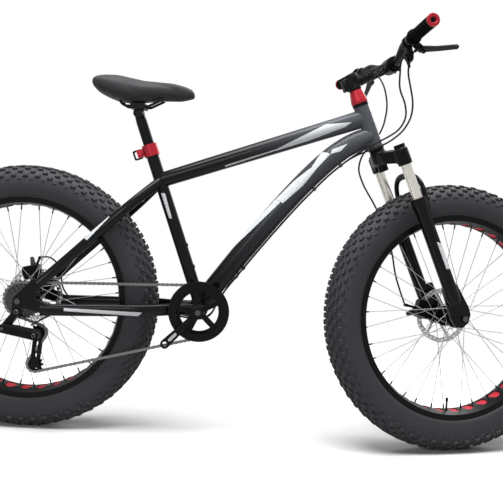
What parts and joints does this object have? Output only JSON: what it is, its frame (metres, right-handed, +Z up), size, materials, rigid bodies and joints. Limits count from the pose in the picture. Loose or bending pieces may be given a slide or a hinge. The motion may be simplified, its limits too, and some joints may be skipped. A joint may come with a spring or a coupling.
{
  "type": "fat tire bike",
  "caption": "Hardtail bicycle with extra wide tyres, a sprung fork, disc brakes, a single chainring with a guard and a rear derailleur.",
  "frame": {"origin": "on the ground, under the middle of the bike's box", "axes": "+X forward, +Y to the rider's left, +Z up"},
  "size_m": [1.946, 0.6346, 1.1389],
  "materials": {
    "frame_paint": "satin black paint on aluminium",
    "black_alloy": "black anodised",
    "fork_paint": "gloss black",
    "bright_steel": "bright",
    "red_anodised": "red anodised",
    "tyre_rubber": "matte rubber",
    "grip_rubber": "matte rubber",
    "saddle_cover": "matte cover over foam",
    "black_plastic": "moulded"
  },
  "bodies": {
    "frame": {"head_tube": "frame_paint", "top_tube": "frame_paint", "down_tube": "frame_paint", "seat_tube": "frame_paint", "bottom_bracket_shell": "frame_paint", "chainstays": "frame_paint", "seatstays": "frame_paint", "dropouts": "frame_paint", "seat_clamp": "red_anodised", "headset": "black_alloy", "bottom_bracket": "black_alloy", "chain": "bright_steel", "rear_caliper": "black_alloy", "derailleur_body": "black_alloy", "rear_axle": "bright_steel", "rear_brake_cable": "black_plastic", "shift_cable": "black_plastic"},
    "seat": {"seat_post": "black_alloy", "saddle_rails": "bright_steel", "saddle_base": "black_plastic", "saddle_pad": "saddle_cover"},
    "clamp_lever": {"seat_clamp_lever": "black_alloy"},
    "steering": {"fork_crown": "black_alloy", "stanchions": "bright_steel", "headset_spacer": "red_anodised", "stem": "black_alloy", "stem_faceplate": "black_alloy", "handlebar": "black_alloy", "grips": "grip_rubber", "grip_end_caps": "red_anodised", "brake_lever_clamps": "black_alloy", "shifter_body": "black_plastic", "front_brake_cable": "black_plastic"},
    "lockout": {"lockout_dial": "black_plastic"},
    "lever_right": {"brake_lever_right": "black_alloy"},
    "lever_left": {"brake_lever_left": "black_alloy"},
    "shift_paddle": {"shifter_lever": "black_plastic"},
    "fork_lower": {"fork_lowers": "fork_paint", "front_axle": "bright_steel", "front_caliper": "black_alloy"},
    "arm_front": {"front_brake_arm": "bright_steel"},
    "arm_rear": {"rear_brake_arm": "bright_steel"},
    "front_wheel": {"front_tyre": "tyre_rubber", "front_rim": "black_alloy", "front_spokes": "bright_steel", "front_hub": "black_alloy", "front_rotor": "bright_steel"},
    "rear_wheel": {"rear_tyre": "tyre_rubber", "rear_rim": "black_alloy", "rear_spokes": "bright_steel", "rear_hub": "black_alloy", "rear_rotor": "bright_steel"},
    "crankset": {"crank_arms": "black_alloy", "chainring": "bright_steel", "chain_guard": "black_alloy", "crank_spindle": "bright_steel"},
    "cogs": {"cassette": "bright_steel"},
    "cage": {"derailleur_cage": "black_alloy"},
    "pulley_guide": {"guide_pulley": "black_plastic"},
    "pulley_tension": {"tension_pulley": "black_plastic"}
  },
  "joints": [
    {"name": "steering", "type": "hinge", "parent": "frame", "child": "steering", "pos_m": [0.56376, -0.0276, 0.37441], "axis": [-0.3914, 0, 0.9202], "range_deg": [-65.2, 34.8], "deforming": ["rear_brake_cable", "shift_cable"]},
    {"name": "fork_travel", "type": "slide", "parent": "steering", "child": "fork_lower", "axis": [-0.3914, 0, 0.9202], "range_m": [0, 0.05], "stiffness_N_per_m": 6000, "springref_m": -0.02, "deforming": ["front_brake_cable"]},
    {"name": "front_wheel_spin", "type": "hinge", "parent": "fork_lower", "child": "front_wheel", "pos_m": [0.60699, -0.01685, 0.37385], "axis": [-0.2413, 0.965, -0.1026], "continuous": true},
    {"name": "rear_wheel_spin", "type": "hinge", "parent": "frame", "child": "rear_wheel", "pos_m": [-0.59859, -0.0276, 0.37441], "axis": [0, 1, 0], "continuous": true},
    {"name": "crank_spin", "type": "hinge", "parent": "frame", "child": "crankset", "pos_m": [-0.10259, -0.0276, 0.36551], "axis": [0, 1, 0], "continuous": true},
    {"name": "cassette_spin", "type": "hinge", "parent": "frame", "child": "cogs", "pos_m": [-0.59859, -0.0276, 0.37441], "axis": [0, 1, 0], "continuous": true},
    {"name": "cage_swing", "type": "hinge", "parent": "frame", "child": "cage", "pos_m": [-0.54859, -0.0856, 0.28341], "axis": [0, 1, 0], "range_deg": [-12, 30], "stiffness_Nm_per_rad": 0.6, "deforming": ["chain"]},
    {"name": "guide_pulley_spin", "type": "hinge", "parent": "cage", "child": "pulley_guide", "pos_m": [-0.54859, -0.0856, 0.28341], "axis": [0, 1, 0], "continuous": true},
    {"name": "tension_pulley_spin", "type": "hinge", "parent": "cage", "child": "pulley_tension", "pos_m": [-0.55859, -0.0856, 0.19341], "axis": [0, 1, 0], "continuous": true},
    {"name": "brake_lever_right_pull", "type": "hinge", "parent": "steering", "child": "lever_right", "pos_m": [0.4543, -0.16111, 1.08319], "axis": [-0.5875, -0.1657, -0.7921], "range_deg": [0, 20], "stiffness_Nm_per_rad": 3, "springref_deg": -6.88},
    {"name": "brake_lever_left_pull", "type": "hinge", "parent": "steering", "child": "lever_left", "pos_m": [0.36978, 0.17696, 1.04724], "axis": [0.557, 0.2875, 0.7792], "range_deg": [0, 20], "stiffness_Nm_per_rad": 3, "springref_deg": -6.88},
    {"name": "rear_brake_arm_pull", "type": "hinge", "parent": "frame", "child": "arm_rear", "pos_m": [-0.6108, 0.05345, 0.43723], "axis": [0, 1, 0], "range_deg": [0, 25]},
    {"name": "front_brake_arm_pull", "type": "hinge", "parent": "fork_lower", "child": "arm_front", "pos_m": [0.52964, 0.03849, 0.38377], "axis": [-0.2413, 0.965, -0.1026], "range_deg": [0, 25]},
    {"name": "shifter_press", "type": "hinge", "parent": "steering", "child": "shift_paddle", "pos_m": [0.41497, -0.13173, 1.07306], "axis": [0.9614, 0.1636, 0.2211], "range_deg": [0, 30], "stiffness_Nm_per_rad": 0.4, "springref_deg": -5.73},
    {"name": "saddle_height", "type": "slide", "parent": "frame", "child": "seat", "axis": [-0.3387, 0, 0.9409], "range_m": [-0.06, 0.035]},
    {"name": "seat_clamp_open", "type": "hinge", "parent": "frame", "child": "clamp_lever", "pos_m": [-0.28789, -0.01542, 0.79461], "axis": [0.3387, 0, -0.9409], "range_deg": [0, 150]},
    {"name": "lockout_turn", "type": "hinge", "parent": "steering", "child": "lockout", "pos_m": [0.41972, -0.10685, 0.83509], "axis": [-0.3914, 0, 0.9202], "range_deg": [0, 90]}
  ],
  "couplings": [
    {"joint": "cassette_spin", "follows": "crank_spin", "ratio": 1.501},
    {"joint": "guide_pulley_spin", "follows": "crank_spin", "ratio": -3.2793},
    {"joint": "tension_pulley_spin", "follows": "crank_spin", "ratio": 3.2793},
    {"joint": "rear_brake_arm_pull", "follows": "brake_lever_right_pull", "ratio": 1.25},
    {"joint": "front_brake_arm_pull", "follows": "brake_lever_left_pull", "ratio": 1.25}
  ]
}
